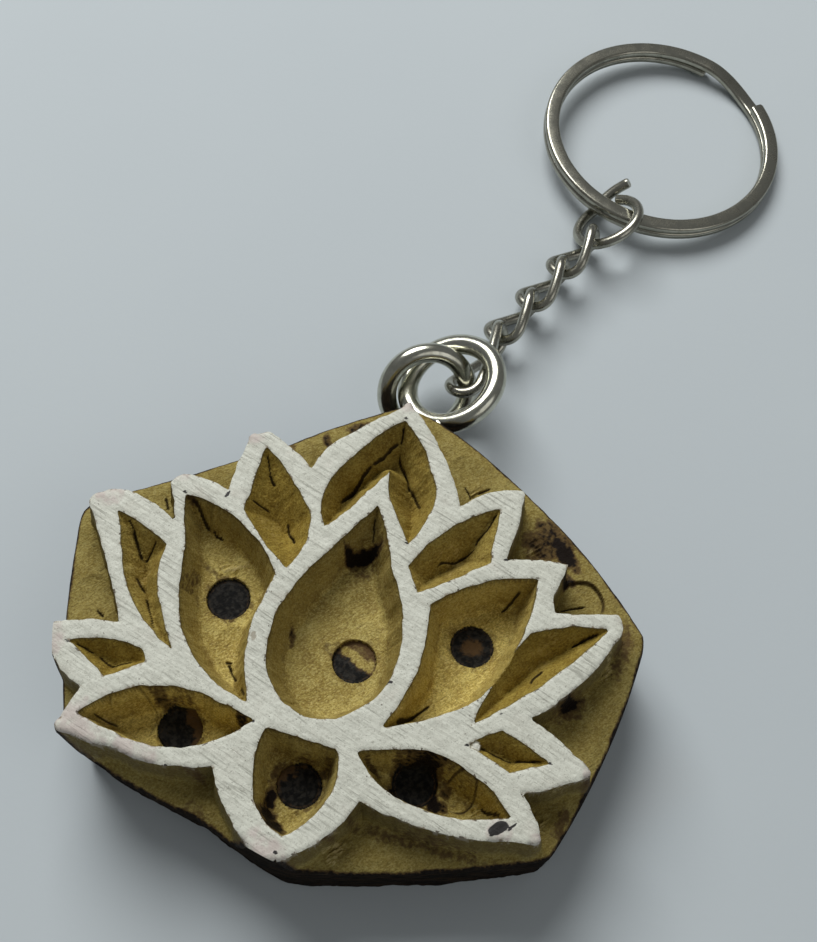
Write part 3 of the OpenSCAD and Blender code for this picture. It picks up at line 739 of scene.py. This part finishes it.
# Connecting ring: one end stands out as a free tip
CONN_R, CONN_WIRE, CONN_START, CONN_SWEEP, CONN_OPENING, CONN_RISE = 3.25, 1.05, 84, 372, 1.85, -0.3
CONN_CENTRE, CONN_HEADING, CONN_LIFT = [13.7, 49.15, 2.47], -20, 34.2
q = np.linspace(0, 1, 200)
a = np.radians(CONN_START - CONN_SWEEP * q)
free = np.maximum(0, q - 0.84) / 0.16
r = CONN_R + CONN_OPENING * free ** 1.5
pts = np.stack([r * np.cos(a), r * np.sin(a), CONN_RISE * (q - 0.5) + free], 1)
open_ring = place_flat(pts, raised(CONN_HEADING, CONN_LIFT), CONN_CENTRE)
connector = make_mesh("connecting_ring_wire",
                      *sweep(*open_ring, round_section(CONN_WIRE / 2, 32), False), sharp=45)

# Split ring: two coils of flat wire with a joggle between them
COIL_R, COIL_W, COIL_H, COIL_GAP, COIL_CORNER = 12.485, 1.49, 0.8, 0.05, 0.3
COIL_CENTRE, COIL_HEADING, COIL_LIFT, COIL_START = [17.13, 61.83, 1.83], 203, 4.5, 38
COIL_TOTAL, JOGGLE_AT, JOGGLE_LENGTH = 685, 325, 31   # degrees along the coil
a = np.linspace(0, COIL_TOTAL, 820)
s = np.clip((a - JOGGLE_AT) / JOGGLE_LENGTH, 0, 1)
z = (COIL_H + COIL_GAP) * (0.5 - s * s * (3 - 2 * s))
t = np.radians(COIL_START - a)
r = COIL_R - COIL_W / 2
pts = np.stack([r * np.cos(t), r * np.sin(t), z], 1)
coils = place_flat(pts, raised(COIL_HEADING, COIL_LIFT), COIL_CENTRE)
ring = make_mesh("split_ring_coils",
                 *sweep(*coils, flat_section(COIL_W, COIL_H, COIL_CORNER, 8), False), sharp=50)


# ---------------------------------------------------------------- materials
class Nodes:
    """Small helper for building a material's node tree."""

    def __init__(self, name):
        self.mat = bpy.data.materials.new(name)
        self.mat.use_nodes = True
        self.tree = self.mat.node_tree
        self.shader = next(n for n in self.tree.nodes if n.type == "BSDF_PRINCIPLED")
        self.coords = self.add("ShaderNodeTexCoord").outputs["Object"]

    def add(self, kind, **props):
        node = self.tree.nodes.new(kind)
        for key, value in props.items():
            setattr(node, key, value)
        return node

    def put(self, socket, value):
        if hasattr(value, "is_output"):
            self.tree.links.new(value, socket)
        else:
            socket.default_value = value

    def mapping(self, scale, turn=(0, 0, 0)):
        """Object coordinates in millimetres, turned (degrees) and then scaled."""
        vector = self.coords
        for key, values in (("Rotation", [math.radians(v) for v in turn]),
                            ("Scale", [v / MM for v in scale])):
            node = self.add("ShaderNodeMapping")
            self.put(node.inputs["Vector"], vector)
            node.inputs[key].default_value = values
            vector = node.outputs["Vector"]
        return vector

    def noise(self, scale, detail=4.0, turn=(0, 0, 0), rough=0.55, distort=0.0):
        node = self.add("ShaderNodeTexNoise")
        self.put(node.inputs["Vector"], self.mapping(scale, turn))
        node.inputs["Scale"].default_value = 1.0
        node.inputs["Detail"].default_value = detail
        node.inputs["Roughness"].default_value = rough
        node.inputs["Distortion"].default_value = distort
        return node.outputs["Fac"]

    def ramp(self, value, lo, hi, out_lo=0.0, out_hi=1.0):
        node = self.add("ShaderNodeMapRange", interpolation_type="SMOOTHSTEP")
        self.put(node.inputs["Value"], value)
        for key, v in zip(("From Min", "From Max", "To Min", "To Max"), (lo, hi, out_lo, out_hi)):
            node.inputs[key].default_value = v
        return node.outputs["Result"]

    def math(self, op, a, b=0.0):
        node = self.add("ShaderNodeMath", operation=op)
        self.put(node.inputs[0], a)
        self.put(node.inputs[1], b)
        return node.outputs[0]

    def mix(self, fac, a, b):
        node = self.add("ShaderNodeMix", data_type="RGBA")
        self.put(node.inputs["Factor"], fac)
        for socket, v in ((node.inputs[6], a), (node.inputs[7], b)):
            self.put(socket, v if hasattr(v, "is_output") else (*v, 1.0))
        return node.outputs[2]

    def mask(self, name):
        node = self.add("ShaderNodeAttribute", attribute_name=name)
        return node.outputs["Fac"]

    def bump(self, height, strength, distance, under=None):
        node = self.add("ShaderNodeBump")
        self.put(node.inputs["Height"], height)
        node.inputs["Strength"].default_value = strength
        node.inputs["Distance"].default_value = distance * MM
        if under is not None:
            self.put(node.inputs["Normal"], under)
        return node.outputs["Normal"]


def wood_material():
    m = Nodes("carved_wood")
    patches = m.noise((0.35, 0.35, 0.35), 5)
    fibre = m.noise((2.0, 6.0, 2.4), 6, turn=(0, 0, 24), rough=0.65)
    grain = m.noise((4.6, 7.0, 4.6), 3, turn=(0, 0, -38), rough=0.65)
    pores = m.noise((11, 11, 11), 2)
    colour = m.mix(m.ramp(patches, 0.35, 0.65), (0.375, 0.285, 0.078), (0.51, 0.41, 0.128))
    colour = m.mix(m.ramp(fibre, 0.45, 0.72, 0, 0.55), colour, (0.29, 0.205, 0.045))
    blotch = m.noise((0.9, 0.9, 0.9), 4, distort=0.6)
    colour = m.mix(m.ramp(blotch, 0.5, 0.68, 0, 0.4), colour, (0.25, 0.17, 0.05))
    colour = m.mix(m.ramp(blotch, 0.48, 0.34, 0, 0.4), colour, (0.59, 0.50, 0.18))
    colour = m.mix(m.ramp(grain, 0.49, 0.38, 0, 0.55), colour, (0.67, 0.57, 0.235))
    colour = m.mix(m.ramp(grain, 0.51, 0.63, 0, 0.58), colour, (0.21, 0.145, 0.045))
    colour = m.mix(m.ramp(pores, 0.56, 0.68, 0, 0.6), colour, (0.14, 0.085, 0.03))
    splinter = m.noise((0.9, 5.5, 2.0), 4, turn=(0, 0, -52), rough=0.6, distort=0.5)
    colour = m.mix(m.ramp(splinter, 0.60, 0.70, 0, 0.5), colour, (0.70, 0.56, 0.20))
    colour = m.mix(m.ramp(splinter, 0.38, 0.30, 0, 0.55), colour, (0.12, 0.075, 0.022))
    # Painted shade: the petals' walls are darkened from a little above the floor
    colour = m.mix(m.math("MULTIPLY", m.mask("wall"), 0.42), colour, (0.20, 0.135, 0.028))
    # Painted shade in patches at the walls' feet
    dark_layer = m.math("MULTIPLY", m.mask("foot"), m.ramp(m.noise((0.9, 0.9, 0.9), 4), 0.35, 0.65, 0.1, 0.5))
    colour = m.mix(dark_layer, colour, (0.12, 0.07, 0.02))
    # Painted shade over the cut-back ground around the flower
    colour = m.mix(m.math("MULTIPLY", m.mask("ground"), 0.46), colour, (0.125, 0.095, 0.022))
    # Painted shade on the flower's outer walls, darker still
    colour = m.mix(m.math("MULTIPLY", m.mask("outer_wall"), 0.55), colour, (0.075, 0.052, 0.022))
    torn = m.math("MULTIPLY", m.mask("torn"), m.ramp(m.noise((2.5, 9, 3), 4, turn=(0, 0, -50)), 0.42, 0.6))
    colour = m.mix(m.ramp(torn, 0.15, 0.6, 0, 0.5), colour, (0.64, 0.52, 0.25))
    # The side petals' floors are brightened with painted light where their walls shade them; the small
    # petals' wood is more golden
    for side_of, tint in ((1, (1.42, 1.42, 1.36, 1)), (-1, (0.78, 0.71, 0.45, 1))):
        tone = m.add("ShaderNodeMix", data_type="RGBA", blend_type="MULTIPLY")
        m.put(tone.inputs["Factor"], m.ramp(m.mask("tone"), 0, side_of))
        m.put(tone.inputs[6], colour)
        tone.inputs[7].default_value = tint
        colour = tone.outputs[2]
    # Burn marks: a wide brown haze with a nearly black middle
    burn = m.math("ADD", m.mask("burn"), m.ramp(m.noise((2.2, 2.2, 2.2), 6), 0.3, 0.7, -0.2, 0.2))
    colour = m.mix(m.ramp(burn, 0.05, 0.55, 0, 0.85), colour, (0.088, 0.05, 0.022))
    colour = m.mix(m.ramp(burn, 0.52, 0.88), colour, (0.013, 0.009, 0.007))
    colour = m.mix(m.ramp(m.mask("rims"), 0.15, 0.75, 0, 0.85), colour, (0.035, 0.018, 0.009))
    # Painted shade inside the knife cuts
    colour = m.mix(m.ramp(m.mask("cut"), 0.2, 0.9, 0, 0.92), colour, (0.020, 0.011, 0.006))
    # Charred pit floors, browner in places, with the drill's faint rings
    ash = m.mix(m.ramp(m.noise((2.4, 2.4, 2.4), 5), 0.4, 0.62),
                (0.011, 0.011, 0.011), (0.034, 0.032, 0.029))
    brown = m.math("ADD", m.mask("brown"), m.ramp(m.noise((3, 3, 3), 4), 0.3, 0.7, -0.15, 0.15))
    ash = m.mix(m.ramp(brown, 0.15, 0.75, 0, 0.8), ash, (0.135, 0.078, 0.034))
    char = m.math("ADD", m.mask("char"), m.ramp(m.noise((4, 4, 4), 4), 0.3, 0.7, -0.12, 0.12))
    colour = m.mix(m.ramp(char, 0.12, 0.75), colour, ash)
    # White paint that ran a little way over the top of the flower's outer walls
    over = m.math("MULTIPLY", m.mask("wall_paint"), m.ramp(m.noise((1.8, 1.8, 1.2), 5), 0.35, 0.6))
    colour = m.mix(m.ramp(over, 0.15, 0.8, 0, 0.7), colour, (0.36, 0.32, 0.25))
    colour = m.mix(m.mask("bead"), colour, (0.70, 0.69, 0.60))
    # Dark outer sides, sawn and stained
    dark_layer = m.mix(m.ramp(m.noise((0.5, 0.5, 2.6), 6), 0.4, 0.68),
                  (0.006, 0.005, 0.004), (0.030, 0.019, 0.011))
    dark_layer = m.mix(m.ramp(m.noise((3, 3, 9), 4), 0.62, 0.8), dark_layer, (0.085, 0.053, 0.03))
    colour = m.mix(m.ramp(m.mask("side"), 0.2, 0.8), colour, dark_layer)
    m.put(m.shader.inputs["Base Color"], colour)
    m.put(m.shader.inputs["Roughness"],
          m.math("MAXIMUM", m.mask("side"), m.ramp(fibre, 0.3, 0.7, 0.55, 0.85)))
    m.put(m.shader.inputs["Specular IOR Level"], 0.07)
    normal = m.bump(grain, 0.6, 0.14, m.bump(splinter, 0.6, 0.16, m.bump(fibre, 0.45, 0.12)))
    m.put(m.shader.inputs["Normal"], m.bump(pores, 0.4, 0.05, normal))
    return m.mat


def paint_material():
    m = Nodes("worn_white_paint")
    streak = m.noise((0.5, 5.0, 1.0), 5, turn=(0, 0, 17), rough=0.7)
    scratch = m.noise((0.3, 5.5, 1.6), 3, turn=(0, 0, 20), rough=0.6)
    mottle = m.noise((4.2, 4.2, 4.2), 5, rough=0.7)
    patches = m.noise((0.4, 0.4, 0.4), 4)
    colour = m.mix(m.ramp(streak, 0.38, 0.66), (0.665, 0.67, 0.575), (0.54, 0.54, 0.46))
    colour = m.mix(m.ramp(mottle, 0.5, 0.7, 0, 0.55), colour, (0.38, 0.375, 0.305))
    colour = m.mix(m.ramp(m.noise((8, 8, 8), 2), 0.58, 0.68, 0, 0.5), colour, (0.27, 0.26, 0.21))
    scraped = m.math("MULTIPLY", m.ramp(scratch, 0.54, 0.66),
                     m.ramp(m.noise((0.3, 0.3, 0.3), 3), 0.42, 0.6, 0.15, 1))
    colour = m.mix(m.ramp(scraped, 0.1, 1, 0, 0.6), colour, (0.31, 0.305, 0.25))
    colour = m.mix(m.ramp(patches, 0.55, 0.75, 0, 0.2), colour, (0.58, 0.50, 0.43))
    pink = m.math("MULTIPLY", m.mask("worn"), m.ramp(m.noise((1.1, 1.1, 1.1), 4), 0.35, 0.65, 0.4, 1))
    colour = m.mix(m.ramp(pink, 0.1, 0.9, 0, 0.55), colour, (0.52, 0.41, 0.385))
    wear = m.math("ADD", m.mask("rim"), m.ramp(m.noise((2.6, 2.6, 2.6), 6), 0.35, 0.72, -0.8, 0.42))
    wear = m.math("ADD", wear, m.math("MULTIPLY", m.mask("worn"), 0.22))
    colour = m.mix(m.ramp(wear, 0.5, 1.2, 0, 0.8), colour, (0.20, 0.145, 0.085))
    nick = m.math("MULTIPLY", m.ramp(m.mask("rim"), 0.25, 0.7),
                  m.ramp(m.noise((1.7, 1.7, 1.7), 5), 0.6, 0.66))
    colour = m.mix(m.ramp(nick, 0.2, 0.8, 0, 0.9), colour, (0.075, 0.052, 0.03))
    specks = m.noise((3.6, 3.6, 3.6), 3, rough=0.5)
    colour = m.mix(m.ramp(specks, 0.70, 0.75, 0, 0.85), colour, (0.09, 0.065, 0.045))
    colour = m.mix(m.ramp(m.mask("bare"), 0.3, 0.8, 0, 0.8), colour, (0.30, 0.26, 0.19))
    colour = m.mix(m.ramp(m.mask("spots"), 0.3, 0.7), colour, (0.012, 0.009, 0.008))
    m.put(m.shader.inputs["Base Color"], colour)
    m.put(m.shader.inputs["Roughness"], m.ramp(streak, 0.3, 0.7, 0.4, 0.65))
    m.put(m.shader.inputs["Specular IOR Level"], 0.4)
    normal = m.bump(mottle, 0.6, 0.07, m.bump(streak, 0.35, 0.06))
    m.put(m.shader.inputs["Normal"], m.bump(specks, 0.5, 0.05, m.bump(scraped, 0.6, 0.04, normal)))
    return m.mat


def metal_material(name, bright, dark, rough_lo, rough_hi, grime=0.5):
    m = Nodes(name)
    cloud = m.noise((0.8, 0.8, 0.8), 5)
    fine = m.noise((14, 14, 14), 4)
    colour = m.mix(m.ramp(cloud, 0.35, 0.7), bright, dark)
    colour = m.mix(m.ramp(m.noise((3, 3, 3), 5), 0.58, 0.8, 0, grime), colour, (0.10, 0.085, 0.06))
    m.put(m.shader.inputs["Base Color"], colour)
    m.put(m.shader.inputs["Metallic"], 1.0)
    m.put(m.shader.inputs["Roughness"], m.math("ADD", m.ramp(cloud, 0.3, 0.7, rough_lo, rough_hi),
                                              m.ramp(fine, 0.4, 0.8, 0, 0.08)))
    m.put(m.shader.inputs["Normal"], m.bump(fine, 0.12, 0.02, m.bump(cloud, 0.15, 0.1)))
    return m.mat


def paper_material():
    m = Nodes("pale_paper")
    cloud = m.noise((0.012, 0.012, 0.012), 4)
    fibre = m.noise((1.2, 1.2, 1.2), 5)
    colour = m.mix(m.ramp(cloud, 0.35, 0.65), (0.50, 0.545, 0.565), (0.515, 0.56, 0.578))
    stains = m.ramp(m.noise((0.05, 0.05, 0.05), 2, rough=0.3), 0.68, 0.8, 0, 0.12)
    colour = m.mix(stains, colour, (0.5, 0.46, 0.43))
    m.put(m.shader.inputs["Base Color"], colour)
    m.put(m.shader.inputs["Roughness"], 0.75)
    m.put(m.shader.inputs["Specular IOR Level"], 0.3)
    m.put(m.shader.inputs["Normal"], m.bump(fibre, 0.12, 0.08))
    return m.mat


bright_nickel = metal_material("bright_nickel", (0.57, 0.565, 0.48), (0.44, 0.435, 0.36), 0.13, 0.22)
chain_nickel = metal_material("chain_nickel", (0.42, 0.41, 0.345), (0.26, 0.25, 0.205), 0.18, 0.3, 0.7)
satin_nickel = metal_material("satin_nickel", (0.40, 0.39, 0.325), (0.28, 0.27, 0.22), 0.17, 0.28)

# ---------------------------------------------------------------- pieces on the frame
PIECES = [
    (block, "block", "printing_block", "wood", wood_material()),
    (paint, "block", "face_paint", "paint", paint_material()),
    (eye, "block", "screw_eye", "bright_nickel", bright_nickel),
    (jump, "jump", "jump_ring", "bright_nickel", bright_nickel),
    *[(link, f"link_{n}", f"chain_link_{n}", "chain_nickel", chain_nickel)
      for n, link in enumerate(links, 1)],
    (connector, "connector", "connecting_ring", "chain_nickel", chain_nickel),
    (ring, "ring", "split_ring", "satin_nickel", satin_nickel)]
for obj, body, node, slot, material in PIECES:
    obj.data.materials.append(material)
    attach(obj, body)
    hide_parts(node)

# ---------------------------------------------------------------- stage
bpy.ops.mesh.primitive_plane_add(size=3, location=(0, 0, 0))
floor = bpy.context.object
floor.name = "paper_floor"
floor.data.materials.append(paper_material())


def area_light(name, location, aim, size, power, colour=(1, 1, 1)):
    data = bpy.data.lights.new(name, "AREA")
    data.shape, data.size, data.energy, data.color = "DISK", size, power, colour
    obj = bpy.data.objects.new(name, data)
    bpy.context.scene.collection.objects.link(obj)
    obj.location = location
    direction = np.asarray(aim) - np.asarray(location)
    obj.rotation_euler = Vector(direction).to_track_quat("-Z", "Y").to_euler()


area_light("window", (-0.22, 0.34, 0.46), (0, 0.02, 0), 0.42, 3.5, (0.98, 0.99, 0.99))
area_light("fill", (0.45, -0.2, 0.5), (0, 0.02, 0), 0.5, 0.45, (1.0, 0.99, 0.97))
world = bpy.data.worlds.new("soft_room")
world.use_nodes = True
world.node_tree.nodes["Background"].inputs["Color"].default_value = (0.84, 0.87, 0.89, 1)
world.node_tree.nodes["Background"].inputs["Strength"].default_value = 0.19
bpy.context.scene.world = world
bpy.context.scene.view_settings.view_transform = "Standard"

CAMERA_AT, CAMERA_TURN, LENS = (10.43, -32.63, 110.68), (24.948, -1.682, 14.326), 49.68
camera_data = bpy.data.cameras.new("camera")
camera_data.sensor_width = 36
camera_data.lens = LENS
camera_data.clip_start, camera_data.clip_end = 0.005, 10
camera = bpy.data.objects.new("camera", camera_data)
camera.location = [v * MM for v in CAMERA_AT]
camera.rotation_euler = [math.radians(v) for v in CAMERA_TURN]
bpy.context.scene.collection.objects.link(camera)
bpy.context.scene.camera = camera
